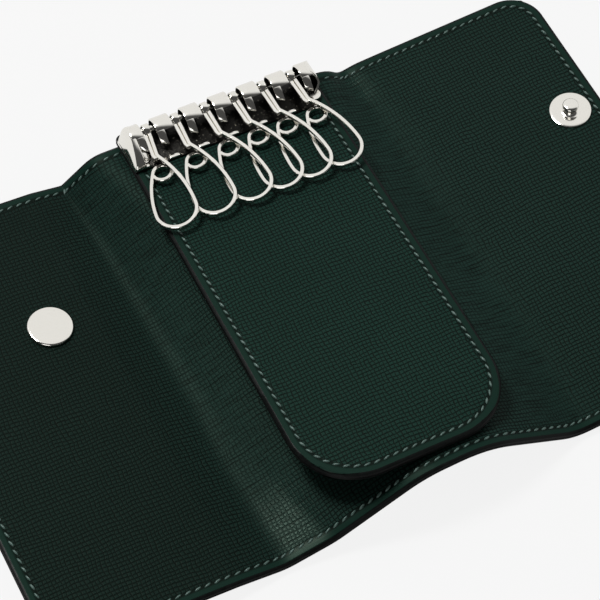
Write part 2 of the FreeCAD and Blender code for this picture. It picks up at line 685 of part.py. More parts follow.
left_spot = Vector(left_snap_x, snap_y, left_face_z)
cap_disc = cylinder(left_spot, Radius="cap_radius", Height="socket_cap_thickness")
cap_top = left_face_z + size("socket_cap_thickness")
cap_face = bevelled(cap_disc, size("cap_bevel"), ring_at(cap_top, size("cap_radius")))
cap_post = cylinder(left_spot - Z_AXIS * cover_thickness, Radius="post_radius",
                    Height="outer_thickness + lining_thickness")
keep(fuse(cap_face, cap_post), "socket_cap", left_tilt)

socket_top = left_face_z - cover_thickness
socket_foot = Vector(left_snap_x, snap_y, socket_top - size("socket_height"))
socket_drum = cylinder(socket_foot, Radius="socket_radius", Height="socket_height")
socket_body = bevelled(socket_drum, size("cap_bevel"), ring_at(socket_foot.z, size("socket_radius")))
mouth = cylinder(socket_foot - Z_AXIS * size("overrun"), Radius="socket_bore_radius",
                 Height="socket_height - socket_floor + overrun")
groove_foot = socket_foot + Z_AXIS * (size("socket_height") - size("socket_floor")
                                      - size("spring_groove_height")) / 2
groove = cylinder(groove_foot, Radius="spring_groove_radius", Height="spring_groove_height")
keep(cut(socket_body, mouth, groove), "snap_socket", left_tilt)

spring = document.addObject("Part::Torus", "Ring")
bind(spring, Radius1="spring_ring_radius", Radius2="spring_wire_radius")
spring.Placement.Base = groove_foot + Z_AXIS * size("spring_wire_radius")
keep(spring, "socket_spring", left_tilt)

right_spot = Vector(right_snap_x, snap_y, right_face_z)
flange = cylinder(right_spot, Radius="stud_flange_radius", Height="stud_flange_thickness")
flange_top = right_face_z + size("stud_flange_thickness")
flange_disc = bevelled(flange, size("cap_bevel"), ring_at(flange_top, size("stud_flange_radius")))
waist = cylinder(Vector(right_snap_x, snap_y, flange_top), Radius="stud_waist_radius", Height="stud_waist_height")
head_foot = flange_top + size("stud_waist_height")
head = cylinder(Vector(right_snap_x, snap_y, head_foot), Radius="stud_head_radius",
                Height="stud_height - stud_waist_height")
head_top = flange_top + size("stud_height")
stud_head = bevelled(head, size("stud_bevel"), ring_at(head_top, size("stud_head_radius")))
keep(fuse(flange_disc, waist, stud_head), "snap_stud", right_tilt)

stud_cap_top = right_spot - Z_AXIS * cover_thickness
stud_cap_foot = stud_cap_top - Z_AXIS * size("stud_cap_height")
dome = cone(stud_cap_foot, Radius1="stud_cap_foot_radius", Radius2="cap_radius", Height="stud_cap_dome")
rim = cylinder(stud_cap_foot + Z_AXIS * size("stud_cap_dome"), Radius="cap_radius",
               Height="stud_cap_height - stud_cap_dome")
stud_post = cylinder(stud_cap_top, Radius="post_radius", Height="outer_thickness + lining_thickness")
keep(fuse(dome, rim, stud_post), "stud_cap", right_tilt)

# Every object has to be sound before anything is written

document.recompute()
faults = [thing.Label for thing in document.Objects if "Invalid" in thing.State or "Error" in thing.State]
for node in nodes:
    if node.Shape.isNull() or not node.Shape.isValid() or not node.Shape.Solids:
        faults.append(node.Label)
if faults:
    raise RuntimeError("unsound: " + ", ".join(faults))

os.makedirs("parts", exist_ok=True)
for node in nodes:
    node.Shape.exportStep(f"parts/{node.Label}.step")
print(len(nodes), "sub-parts")
print("left fold axis", left_fold_x, left_fold_z)
print("right fold axis", right_fold_x, right_fold_z)
rod_axis = on_tongue.multVec(Vector(0, 0, size("rod_height")))
rod_way = on_tongue.Rotation.multVec(X_AXIS)
print("pivot rod axis", rod_axis, rod_way, "tongue middle", tongue_x)
print("snap", left_snap_x, right_snap_x, snap_y)
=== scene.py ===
"""An open leather key case with a bar of snap hooks, dressed over its CAD frame."""
import bmesh
import bpy
import math
from mathutils import Matrix, Vector


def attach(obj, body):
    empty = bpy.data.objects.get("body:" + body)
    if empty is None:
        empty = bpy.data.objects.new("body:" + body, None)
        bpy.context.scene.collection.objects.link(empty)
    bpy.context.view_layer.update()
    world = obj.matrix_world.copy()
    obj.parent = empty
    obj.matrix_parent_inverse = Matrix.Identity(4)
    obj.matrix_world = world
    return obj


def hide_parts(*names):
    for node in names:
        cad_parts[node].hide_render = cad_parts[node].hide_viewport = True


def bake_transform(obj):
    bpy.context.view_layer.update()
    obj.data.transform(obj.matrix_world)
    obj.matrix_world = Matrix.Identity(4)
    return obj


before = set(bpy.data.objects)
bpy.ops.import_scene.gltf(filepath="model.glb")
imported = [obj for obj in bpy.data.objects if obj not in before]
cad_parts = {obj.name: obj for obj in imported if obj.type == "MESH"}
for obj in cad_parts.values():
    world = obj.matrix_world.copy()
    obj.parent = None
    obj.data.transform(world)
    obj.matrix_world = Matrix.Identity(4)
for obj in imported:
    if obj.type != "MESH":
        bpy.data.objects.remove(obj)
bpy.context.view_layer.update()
scene = bpy.context.scene
mm = 0.001

# Leather of the cover and the tongue: calf with a pressed lattice of small cells,
# dyed dark green and waxed. Outside the seam it is smooth and a little brighter.
# The grooves of the lattice and the line of the seam are darkened with painted shade.
# The cut edges are sealed with black paint that laps over the rim.


class Value:
    """One shader value; arithmetic on it adds Math nodes."""

    def __init__(self, finish, socket):
        self.finish = finish
        self.socket = socket

    def maths(self, operation, first, second):
        return self.finish.node("ShaderNodeMath", {"operation": operation}, {0: first, 1: second})

    def __add__(self, other):
        return self.maths("ADD", self, other)

    def __radd__(self, other):
        return self.maths("ADD", other, self)

    def __sub__(self, other):
        return self.maths("SUBTRACT", self, other)

    def __rsub__(self, other):
        return self.maths("SUBTRACT", other, self)

    def __mul__(self, other):
        return self.maths("MULTIPLY", self, other)

    def __abs__(self):
        return self.maths("ABSOLUTE", self, 0.0)


class Nodes:
    """The nodes of one shader tree."""

    def __init__(self, tree):
        self.tree = tree

    def join(self, socket, value):
        if isinstance(value, Value):
            self.tree.links.new(value.socket, socket)
        else:
            socket.default_value = value

    def node(self, kind, settings=None, values=None, output=0):
        made = self.tree.nodes.new(kind)
        for setting, value in (settings or {}).items():
            setattr(made, setting, value)
        for key, value in (values or {}).items():
            self.join(made.inputs[key], value)
        return Value(self, made.outputs[output])

    def noise(self, place, scale, detail=2.0, roughness=0.5):
        return self.node("ShaderNodeTexNoise", None,
                         {"Vector": place, "Scale": scale, "Detail": detail, "Roughness": roughness})

    def step(self, value, low, high):
        return self.node("ShaderNodeMapRange", {"interpolation_type": "SMOOTHSTEP"},
                         {"Value": value, "From Min": low, "From Max": high})

    def mix(self, factor, first, second):
        blend = self.node("ShaderNodeMix", {"data_type": "RGBA"}, None, 2)
        mixer = blend.socket.node
        self.join(mixer.inputs[0], factor)
        self.join(mixer.inputs[6], first)
        self.join(mixer.inputs[7], second)
        return blend

    def bump(self, height, distance, strength=1.0):
        return self.node("ShaderNodeBump", None,
                         {"Height": height, "Distance": distance, "Strength": strength})


class Finish(Nodes):
    """A material and its nodes."""

    def __init__(self, name, **shader_values):
        self.material = bpy.data.materials.new(name)
        self.material.use_nodes = True
        super().__init__(self.material.node_tree)
        self.shader = self.tree.nodes["Principled BSDF"]
        for socket_name, value in shader_values.items():
            self.set(socket_name.replace("_", " "), value)

    def set(self, socket_name, value):
        self.join(self.shader.inputs[socket_name], value)


seam_inset = 2.3
cell_pitch = 0.9
leather_shine = 0.068
leather_tint = (0.72, 1.0, 0.80, 1.0)
leather_roughness = 0.47
sway_cells = 1.7
wander_cells = 0.75
groove_span = (0.25, 0.47)
press_depth = 0.075
crease_core = 0.3
streak_stretch = 0.11
streak_sway = 0.5
# Width and strength of the painted shade that darkens one side of the cover.
shade_blend = 12.0
painted_shade_depth = 0.52
polish_core = 0.2
rim_tones = ((0.0034, 0.0150, 0.0108, 1.0), (0.0022, 0.0095, 0.0066, 1.0))
paint_black = (0.003, 0.003, 0.003, 1.0)


def leather_finish(name, shade_tone, plain, worn, folds=(), painted_shade_edge=None, polished=()):
    """Green leather whose lattice follows the cut of the piece, creased at its folds and polished by use,
    with painted shade in its grooves and along its seam.
    """
    leather = Finish(name, Specular_IOR_Level=leather_shine, Specular_Tint=leather_tint)
    cut_place = leather.node("ShaderNodeUVMap", {"uv_map": "cut"})
    edge = leather.node("ShaderNodeAttribute", {"attribute_name": "edge"}, None, 2)
    sway = leather.noise(cut_place, 130.0, 2.0)
    wander = leather.noise(cut_place, 520.0, 2.0)
    drift = leather.noise(cut_place, 26.0, 2.0)
    grain = leather.noise(cut_place, 2600.0, 3.0, 0.6)
    across = leather.node("ShaderNodeSeparateXYZ", None, {0: cut_place}, 0)
    along = leather.node("ShaderNodeSeparateXYZ", None, {0: cut_place}, 1)
    cells = 1.0 / (cell_pitch * mm)

    def grooves(cell_place):
        within = leather.node("ShaderNodeMath", {"operation": "FRACT"}, {0: cell_place})
        return leather.step(abs(within - 0.5), *groove_span)

    groove_across = grooves(across * cells + sway * sway_cells + wander * wander_cells)
    groove_along = grooves(along * cells - sway * sway_cells + wander * wander_cells)
    groove = leather.node("ShaderNodeMath", {"operation": "MAXIMUM"},
                          {0: groove_across * (wander * 1.3 + 0.2), 1: groove_along * (1.55 - wander * 1.1)})
    pressed = leather.step(edge, seam_inset - 0.3, seam_inset + 0.5)
    creased = 0.0
    for fold_place, fold_reach in folds:
        creased = creased + leather.step(abs(across - fold_place * mm), fold_reach * mm,
                                         fold_reach * crease_core * mm)
    streak_place = leather.node("ShaderNodeCombineXYZ", None,
                                {0: across * streak_stretch, 1: along + sway * streak_sway * mm})
    streak = leather.step(leather.noise(streak_place, 1300.0, 2.0), 0.42, 0.66)
    groove = groove * (1.0 - creased * 0.35) + streak * creased * 0.3
    seam = leather.step(abs(edge - seam_inset), 0.75, 0.15)
    lattice = groove * pressed
    body = leather.mix(leather.step(drift + grain * 0.25, 0.35, 0.9), plain, worn)
    # Painted shade: left of the given place the leather is darkened towards the shade tone, as if less light
    # fell there.
    if painted_shade_edge is not None:
        painted_shade = leather.step(across, (painted_shade_edge + shade_blend) * mm, (painted_shade_edge - shade_blend) * mm)
        body = leather.mix(painted_shade * painted_shade_depth, body, shade_tone)
    # The lattice grooves and fold wrinkles take the shade tone: painted shade in the recesses.
    cell_colour = leather.mix(lattice, body, shade_tone)
    rim_colour = leather.mix(grain * 0.4, *rim_tones)
    colour = leather.mix(pressed, rim_colour, cell_colour)
    # The seam line is darkened to the shade tone: painted shade in the stitch groove.
    colour = leather.mix(seam * 0.9, colour, shade_tone)
    colour = leather.mix(leather.step(edge, 0.42, 0.2), colour, paint_black)
    leather.set("Base Color", colour)
    polish = 0.0
    for x_place, y_place, x_reach, y_reach in polished:
        near_x = leather.step(abs(across - x_place * mm), x_reach * mm, x_reach * polish_core * mm)
        near_y = leather.step(abs(along - y_place * mm), y_reach * mm, y_reach * polish_core * mm)
        polish = polish + near_x * near_y
    leather.set("Roughness", leather_roughness - polish * 0.2 + lattice * 0.1 + grain * 0.04)
    height = (1.0 - lattice) - seam * 0.7 + grain * 0.14 + drift * 0.2
    leather.set("Normal", leather.bump(height, press_depth * mm, 0.75))
    return leather.material


# First the shade tone for painted shade in grooves and seam, then the leather's plain and worn tones.
cover_tones = ((0.0002, 0.0009, 0.0007, 1.0), (0.0050, 0.0165, 0.0130, 1.0), (0.0066, 0.0205, 0.0162, 1.0))
fold_creases = [(56.0, 11.0), (119.0, 13.0)]
# The cover's painted shade lies left of this place.
left_shade_edge = 48.0
polished_places = [(56.5, -46.0, 8.5, 13.0), (121.5, 47.0, 5.5, 9.0)]
cover_leather = leather_finish("cover_green_leather", *cover_tones, fold_creases, left_shade_edge,
                               polished_places)
outer_leather = leather_finish("outer_green_leather", *cover_tones)
edge_paint = Finish("black_edge_paint", Specular_IOR_Level=0.06)
paint_place = edge_paint.node("ShaderNodeTexCoord", None, None, 3)
paint_ripple = edge_paint.noise(paint_place, 900.0, 3.0)
edge_paint.set("Base Color", edge_paint.mix(paint_ripple, (0.0016, 0.0020, 0.0019, 1.0),
                                            (0.0052, 0.0060, 0.0057, 1.0)))
edge_paint.set("Roughness", 0.24 + paint_ripple * 0.22)
edge_paint.set("Normal", edge_paint.bump(paint_ripple, 0.05 * mm, 0.6))

# Cover: one blank of two leathers glued back to back, lying open over the surface.
# Its panels lean on the snap, its valleys touch the surface and the spine arches up
# towards the bottom edge. It is made in two halves that meet under the tongue.

cover_top = 52.75
cover_bottom = -54.25
cover_thickness = 2.0
cover_corner = 8.0
rim_round = 0.7
flat_share = 0.93
glue_groove = 0.2
groove_half = 0.05
rim_cuts = 5
on_rim = 0.01
crisp_angle = math.radians(42)
cover_rows = 116
left_columns = 96
right_columns = 88
left_bend_span = (-25.2, -44.7)
right_bend_span = (29.9, 44.3)
left_panel_line = [(-83.043, 6.218), (-44.654, 2.183), (-42.665, 1.974)]
right_edge = (83.043, 3.079)
top_line = left_panel_line + [(-34.668, 0.1), (-32.668, 1.65), (-26.668, 6.3), (30.1, 3.7), (33.6, 0.15),
                              (38.6, 1.32), (44.315, 1.6), right_edge]
bottom_line = left_panel_line + [(-31.8, 0.1), (-20.4, 2.5), (-0.168, 12.75), (13.832, 13.3), (35.532, 0.2),
                                 (42.319, 0.588), (44.315, 0.711), right_edge]
flank_corner = 4
left_shoulder = 5
right_shoulder = 6
right_valley = 7
right_rise = 8
right_panel_start = 9
head_share = 0.18
flank_lift_start = 0.6
flank_rest = (-29.3, 0.8)
flank_curve = 1.5
flank_swell = 0.85
shoulder_curve = 0.82
right_sag = 3.2
valley_shift = (1.0, 0.35)
level_shift = (1.1, 0.05)
bend_slack = 1.15
bend_limit = 0.48
bend_steps = 8
bend_radii_top = [30.0, 6.0, 3.5, 3.0, 5.0, 6.0, 10.0, 12.0, 30.0]
bend_radii_bottom = [30.0, 6.0, 10.0, 14.0, 18.0, 18.0, 16.0, 12.0, 30.0]
half_split_share = 0.525
profile_rows = {}


def between(first, second, share):
    return first + (second - first) * share


def profile_at(y_place):
    """The outer face across the case at one height of the cover, as points and lengths."""
    key = round(y_place, 4)
    if key in profile_rows:
        return profile_rows[key]
    share = (cover_top - y_place) / (cover_top - cover_bottom)
    corners = [Vector(above).lerp(Vector(below), share) for above, below in zip(top_line, bottom_line)]
    lifted = max(share - flank_lift_start, 0.0) / (1.0 - flank_lift_start)
    resting = Vector((between(top_line[flank_corner][0], flank_rest[0], min(share / flank_lift_start, 1.0)),
                      between(top_line[flank_corner][1], flank_rest[1], min(share / head_share, 1.0))))
    corners[flank_corner] = resting.lerp(Vector(bottom_line[flank_corner]), lifted ** flank_curve)
    corners[flank_corner].y += flank_swell * 4.0 * lifted * (1.0 - lifted)
    corners[left_shoulder].x = between(top_line[left_shoulder][0], bottom_line[left_shoulder][0],
                                       share ** shoulder_curve)
    sag = 4.0 * share * (1.0 - share)
    corners[right_shoulder] -= Vector((0.0, right_sag * sag))
    corners[right_valley] += Vector(valley_shift) * sag
    level = corners[right_panel_start] - Vector(level_shift)
    corners[right_rise] = Vector(top_line[right_rise]).lerp(level, min(share / head_share, 1.0))
    line = [corners[0]]
    for number in range(1, len(corners) - 1):
        corner = corners[number]
        inwards = corner - corners[number - 1]
        outwards = corners[number + 1] - corner
        bend = abs(inwards.angle_signed(outwards))
        radius = between(bend_radii_top[number - 1], bend_radii_bottom[number - 1], share)
        reach = min(radius * math.tan(bend / 2) * bend_slack, inwards.length * bend_limit,
                    outwards.length * bend_limit)
        start = corner - inwards.normalized() * reach
        finish = corner + outwards.normalized() * reach
        for part in range(bend_steps + 1):
            t = part / bend_steps
            line.append(start * (1 - t) ** 2 + corner * 2 * t * (1 - t) + finish * t ** 2)
    line.append(corners[-1])
    lengths = [0.0]
    for first, second in zip(line, line[1:]):
        lengths.append(lengths[-1] + (second - first).length)
    profile_rows[key] = (line, lengths)
    return profile_rows[key]


blank_width = profile_at((cover_top + cover_bottom) / 2)[1][-1]


def drape(cut_x, cut_y, height):
    """Lay a place of the flat blank over the case, height above the outer face."""
    line, lengths = profile_at(cut_y)
    travel = min(max(cut_x / blank_width, 0.0), 1.0) * lengths[-1]
    low, high = 0, len(lengths) - 1
    while high - low > 1:
        centre = (low + high) // 2
        if lengths[centre] <= travel:
            low = centre
        else:
            high = centre
    share = (travel - lengths[low]) / max(lengths[high] - lengths[low], 1e-9)
    place = line[low].lerp(line[high], share)
    before = line[max(low - 1, 0)]
    after = line[min(high + 1, len(line) - 1)]
    way = (line[low] - before).lerp(after - line[high], share) + (line[high] - line[low])
    way.normalize()
    return Vector((place.x - way.y * height, cut_y, place.y + way.x * height))


def cover_place(co):
    return drape(co.x, co.y, co.z)


def rounded_corner(x, y, x_edge, y_edge, radius, middle):
    """Draw the square corner of a blank's lattice in to a round one."""
    centre_x = x_edge + math.copysign(radius, middle.x - x_edge)
    centre_y = y_edge + math.copysign(radius, middle.y - y_edge)
    a = (x - centre_x) / radius
    b = (y - centre_y) / radius
    return (centre_x + radius * a * math.sqrt(1 - b * b / 2),
            centre_y + radius * b * math.sqrt(1 - a * a / 2))


def edge_distance(x, y, low, high, radii):
    """How far inside a rounded blank a place lies; radii are those at the low and the high end of Y."""
    radius = radii[0] if y < (low[1] + high[1]) / 2 else radii[1]
    in_x = min(x - low[0], high[0] - x)
    in_y = min(y - low[1], high[1] - y)
    if in_x < radius and in_y < radius:
        return radius - math.hypot(radius - in_x, radius - in_y)
    return min(in_x, in_y)


def inward(distance, x, y):
    """Direction from a blank's rim to its middle."""
    reach = 0.05
    x_slope = distance(x + reach, y) - distance(x - reach, y)
    y_slope = distance(x, y + reach) - distance(x, y - reach)
    return Vector((x_slope, y_slope)).normalized()


def cut_blank(low, high, columns, rows, corners, thickness, distance):
    """A flat blank with rounded corners and a softened rim, as a bmesh in millimetres."""
    blank = bmesh.new()
    bmesh.ops.create_grid(blank, x_segments=columns, y_segments=rows, size=0.5)
    span = Vector((high[0] - low[0], high[1] - low[1], 1.0))
    bmesh.ops.scale(blank, vec=span, verts=blank.verts)
    middle = Vector(((low[0] + high[0]) / 2, (low[1] + high[1]) / 2, 0))
    bmesh.ops.translate(blank, vec=middle, verts=blank.verts)
    for vert in blank.verts:
        for x_edge, y_edge, radius in corners:
            if abs(vert.co.x - x_edge) < radius and abs(vert.co.y - y_edge) < radius:
                vert.co.x, vert.co.y = rounded_corner(vert.co.x, vert.co.y, x_edge, y_edge, radius, middle)
    raised = bmesh.ops.extrude_face_region(blank, geom=blank.faces[:])["geom"]
    lifted = [item for item in raised if isinstance(item, bmesh.types.BMVert)]
    bmesh.ops.translate(blank, vec=(0, 0, thickness), verts=lifted)
    bmesh.ops.recalc_face_normals(blank, faces=blank.faces)
    uprights = [edge for edge in blank.edges if abs(edge.verts[0].co.z - edge.verts[1].co.z) > thickness / 2
                and distance(edge.verts[0].co.x, edge.verts[0].co.y) < on_rim]
    bmesh.ops.subdivide_edges(blank, edges=uprights, cuts=rim_cuts, use_grid_fill=True)
    for vert in blank.verts:
        if distance(vert.co.x, vert.co.y) < on_rim:
            rim_height = min(vert.co.z, thickness - vert.co.z)
            draw_in = rim_round - math.sqrt(max(rim_round ** 2 - max(rim_round - rim_height, 0.0) ** 2, 0.0))
            if abs(vert.co.z - thickness / 2) < groove_half:
                draw_in += glue_groove
            vert.co.xy += inward(distance, vert.co.x, vert.co.y) * draw_in
    blank.normal_update()
    for face in blank.faces:
        face.material_index = 1
        if abs(face.normal.z) > flat_share:
            face.material_index = 0 if face.normal.z > 0 else 2
    return blank


def finish_blank(blank, name, distance, place, materials):
    """Keep the cut as UV and edge distance, then lay the blank in its place."""
    cut_layer = blank.loops.layers.uv.new("cut")
    edge_layer = blank.verts.layers.float.new("edge")
    for face in blank.faces:
        for loop in face.loops:
            loop[cut_layer].uv = (loop.vert.co.x * mm, loop.vert.co.y * mm)
    for vert in blank.verts:
        vert[edge_layer] = distance(vert.co.x, vert.co.y)
    for vert in blank.verts:
        vert.co = place(vert.co) * mm
    return new_piece(blank, name, materials)


def new_piece(form, name, materials):
    """Turn a bmesh in metres into a scene object with its materials."""
    for face in form.faces:
        face.smooth = True
    mesh = bpy.data.meshes.new(name)
    form.to_mesh(mesh)
    form.free()
    mesh.set_sharp_from_angle(angle=crisp_angle)
    for material in materials:
        mesh.materials.append(material)
    piece = bpy.data.objects.new(name, mesh)
    scene.collection.objects.link(piece)
    return piece


cover_low = (0.0, cover_bottom)
cover_high = (blank_width, cover_top)
split_x = blank_width * half_split_share


def cover_distance(x, y):
    return edge_distance(x, y, cover_low, cover_high, (cover_corner, cover_corner))


left_corners = [(0.0, cover_bottom, cover_corner), (0.0, cover_top, cover_corner)]
cover_materials = [cover_leather, edge_paint.material, outer_leather]
left_blank = cut_blank(cover_low, (split_x, cover_top), left_columns, cover_rows, left_corners,
                       cover_thickness, cover_distance)
left_cover = finish_blank(left_blank, "left_cover_skin", cover_distance, cover_place, cover_materials)
right_corners = [(blank_width, cover_bottom, cover_corner), (blank_width, cover_top, cover_corner)]
right_blank = cut_blank((split_x, cover_bottom), cover_high, right_columns, cover_rows, right_corners,
                        cover_thickness, cover_distance)
right_cover = finish_blank(right_blank, "right_cover_skin", cover_distance, cover_place, cover_materials)
left_bend = [Vector((x, 0, 0)) * mm for x in left_bend_span]
right_bend = [Vector((x, 0, 0)) * mm for x in right_bend_span]
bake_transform(left_cover)
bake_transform(right_cover)
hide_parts("left_cover_leather", "left_cover_lining", "left_fold_leather", "left_fold_lining",
            "spine_leather", "spine_lining")
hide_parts("right_cover_leather", "right_cover_lining", "right_fold_leather",
            "right_fold_lining")

# Seam of the cover: waxed polyester thread sewn in a running seam along the edge,
# with a slanted stitch every few millimetres that sinks a little into the leather.
# The same thread shows on the inner and the outer face.

stitch_pitch = 2.15
stitch_length = 1.75
stitch_width = 0.56
stitch_height = 0.34
stitch_slant = math.radians(17)
stitch_sink = 0.05
stitch_play = 0.08
stitch_play_turn = 2.4
thread = Finish("dark_green_thread")
thread_place = thread.node("ShaderNodeTexCoord", None, None, 3)
fibre_and_glint = thread.noise(thread_place, 3200.0, 2.0)
# Painted highlight: the pale tone mixed in along the fibres stands for the glints on the stitches.
thread.set("Base Color", thread.mix(fibre_and_glint, (0.0045, 0.0180, 0.0135, 1.0),
                                    (0.0850, 0.1500, 0.1280, 1.0)))
thread.set("Roughness", 0.26 + fibre_and_glint * 0.3)
thread.set("Normal", thread.bump(fibre_and_glint, 0.08 * mm, 0.7))


def seam_path(low, high, radius_low, radius_high, inset, open_top=None):
    """Places and directions of the stitches round a blank, counted from the middle of its top edge."""
    sides = []
    left, right = low[0] + inset, high[0] - inset
    foot, head = low[1] + inset, high[1] - inset
    turn_low, turn_high = radius_low - inset, radius_high - inset

    def straight(start, finish):
        sides.append((lambda t: start.lerp(finish, t), (finish - start).length))

    def corner(centre, radius, first):
        def place(t):
            angle = first - t * math.pi / 2
            return centre + Vector((math.cos(angle), math.sin(angle))) * radius
        sides.append((place, radius * math.pi / 2))

    if open_top is None:
        straight(Vector((left + turn_high, head)), Vector((right - turn_high, head)))
        corner(Vector((right - turn_high, head - turn_high)), turn_high, math.pi / 2)
        straight(Vector((right, head - turn_high)), Vector((right, foot + turn_low)))
    else:
        straight(Vector((right, open_top)), Vector((right, foot + turn_low)))
    corner(Vector((right - turn_low, foot + turn_low)), turn_low, 0.0)
    straight(Vector((right - turn_low, foot)), Vector((left + turn_low, foot)))
    corner(Vector((left + turn_low, foot + turn_low)), turn_low, -math.pi / 2)
    if open_top is None:
        straight(Vector((left, foot + turn_low)), Vector((left, head - turn_high)))
        corner(Vector((left + turn_high, head - turn_high)), turn_high, math.pi)
    else:
        straight(Vector((left, foot + turn_low)), Vector((left, open_top)))
    total = sum(length for place, length in sides)
    count = int(total / stitch_pitch)
    stitches = []
    for number in range(count):
        travel = (number + 0.5) * total / count
        for place, length in sides:
            if travel <= length:
                here = place(travel / length)
                there = place(min(travel / length + 0.01, 1.01))
                stitches.append((here, (there - here).normalized()))
                break
            travel -= length
    return stitches


def sew(form, stitches, place, height):
    """Lay one thread lobe at each stitch, on the face at that height."""
    for number, (spot, way) in enumerate(stitches):
        slant = stitch_slant if height > 0 else -stitch_slant
        lean = Matrix.Rotation(slant, 2) @ way
        centre = place(Vector((spot.x, spot.y, height)))
        ahead = (place(Vector((spot.x + lean.x, spot.y + lean.y, height))) - centre).normalized()
        side = (place(Vector((spot.x - lean.y, spot.y + lean.x, height))) - centre).normalized()
        up = ahead.cross(side).normalized()
        frame_of = Matrix((ahead, up.cross(ahead), up)).transposed().to_4x4()
        swell = 1.0 + stitch_play * math.sin(number * stitch_play_turn)
        size_of = Matrix.Diagonal((stitch_length / 2 * mm, stitch_width / 2 * swell * mm,
                                   stitch_height * mm, 1.0))
        outwards = up if height > 0 else -up
        shift = Matrix.Translation((centre - outwards * stitch_sink) * mm)
        bmesh.ops.create_uvsphere(form, u_segments=8, v_segments=6, radius=1.0,
                                  matrix=shift @ frame_of @ size_of)


cover_stitches = seam_path(cover_low, cover_high, cover_corner, cover_corner, seam_inset)
for side, bend, body in (("left", left_bend, "left_panel"), ("right", right_bend, "right_panel")):
    seam_form = bmesh.new()
    own = [stitch for stitch in cover_stitches if (stitch[0].x < split_x) == (side == "left")]
    sew(seam_form, own, cover_place, cover_thickness)
    sew(seam_form, own, cover_place, 0.0)
    seam_piece = new_piece(seam_form, f"{side}_cover_seam", [thread.material])
    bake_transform(seam_piece)

# Tongue: two more leathers glued and sewn, with a round free end and black painted edges.
# Only its head is fixed, clamped between the key bar and the spine by the bar's rivets.
# The rest floats over the spine and lifts with the keys.

tongue_origin = Vector((2.83188, 49.76496, 9.24837))
tongue_turn = Matrix.Rotation(math.radians(2.61168), 4, "Y") @ Matrix.Rotation(math.radians(-4.67267), 4, "X")
tongue_half = 24.2
tongue_head = 4.5
tongue_foot = -100.6
tongue_corner = 15.0
tongue_tab_corner = 1.6
tongue_thickness = 2.0
tongue_seam_top = -8.6
just_above = 0.001
# The first tone is the shade tone for painted shade in the grooves and along the seam.
tongue_leather = leather_finish("tongue_green_leather", (0.0003, 0.0013, 0.0010, 1.0),
                                (0.0046, 0.0190, 0.0142, 1.0), (0.0060, 0.0230, 0.0174, 1.0))


def on_tongue(co):
    """A place in the tongue's own frame, with the leather's soft crown, as a place in the scene."""
    reach = min(max((-co.y - 20.0) / 78.0, 0.0), 1.0)
    crown = -0.55 * (abs(co.x) / tongue_half) ** 2.6 * reach - 0.5 * reach ** 6
    aside = -0.5 * min(max(-co.y / 20.0, 0.0), 1.0) - 1.5 * reach
    return tongue_origin + tongue_turn @ Vector((co.x * 0.985 + aside, co.y, co.z + crown))


tongue_low = (-tongue_half, tongue_foot)
tongue_high = (tongue_half, tongue_head)


def tongue_distance(x, y):
    return edge_distance(x, y, tongue_low, tongue_high, (tongue_corner, tongue_tab_corner))


tongue_corners = [(side * tongue_half, tongue_foot, tongue_corner) for side in (-1, 1)]
tongue_corners += [(side * tongue_half, tongue_head, tongue_tab_corner) for side in (-1, 1)]
tongue_blank = cut_blank(tongue_low, tongue_high, 60, 120, tongue_corners, tongue_thickness,
                         tongue_distance)
bmesh.ops.translate(tongue_blank, vec=(0, 0, -tongue_thickness), verts=tongue_blank.verts)
tongue = finish_blank(tongue_blank, "tongue_skin", tongue_distance, on_tongue,
                      [tongue_leather, edge_paint.material, tongue_leather])
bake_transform(tongue)
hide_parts("tongue_head_leather", "tongue_head_lining", "tongue_bend_leather", "tongue_bend_lining",
            "tongue_flap_leather", "tongue_flap_lining")
tongue_seam_form = bmesh.new()
tongue_stitches = seam_path(tongue_low, tongue_high, tongue_corner, tongue_tab_corner, seam_inset,
                            tongue_seam_top)
sew(tongue_seam_form, tongue_stitches, on_tongue, just_above)
sew(tongue_seam_form, tongue_stitches, on_tongue, -tongue_thickness)
tongue_seam = new_piece(tongue_seam_form, "tongue_seam", [thread.material])
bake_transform(tongue_seam)

# Key bar: spring-steel sheet rolled round the pivot rod and cut into tiles, one slot per hook,
# with a leaning leaf at the left end and a bowl at the right end, plated in pale nickel.
# Its inner faces, the inside of its bowl and its base plate are near-black steel that is painted shade. Two
# rivets hold its base through the tongue and the spine.

nickel = Finish("pale_nickel", Metallic=1.0)
nickel_place = nickel.node("ShaderNodeTexCoord", None, None, 3)
nickel_haze = nickel.noise(nickel_place, 420.0, 4.0, 0.6)
nickel_pits = nickel.step(nickel.noise(nickel_place, 2400.0, 2.0), 0.66, 0.8)
nickel.set("Base Color", nickel.mix(nickel_pits * 0.5 + nickel_haze * 0.2, (0.83, 0.81, 0.755, 1.0),
                                    (0.60, 0.58, 0.53, 1.0)))
nickel.set("Roughness", 0.07 + nickel_haze * 0.1 + nickel_pits * 0.12)
nickel.set("Normal", nickel.bump(nickel_haze, 0.02 * mm, 0.5))

# Near-black steel with paler streaks, used as painted shade inside the bar's hollows and on its base plate.
shade_steel = Finish("painted_shade_steel", Metallic=1.0)
shade_steel_place = shade_steel.node("ShaderNodeTexCoord", None, None, 3)
shade_steel_streak = shade_steel.noise(shade_steel_place, 1300.0, 3.0, 0.7)
shade_steel.set("Base Color", shade_steel.mix(shade_steel.step(shade_steel_streak, 0.6, 0.76),
                                          (0.010, 0.0097, 0.0088, 1.0), (0.26, 0.24, 0.20, 1.0)))
shade_steel.set("Roughness", 0.2 + shade_steel_streak * 0.25)
shade_steel.set("Normal", shade_steel.bump(shade_steel_streak, 0.12 * mm, 0.6))

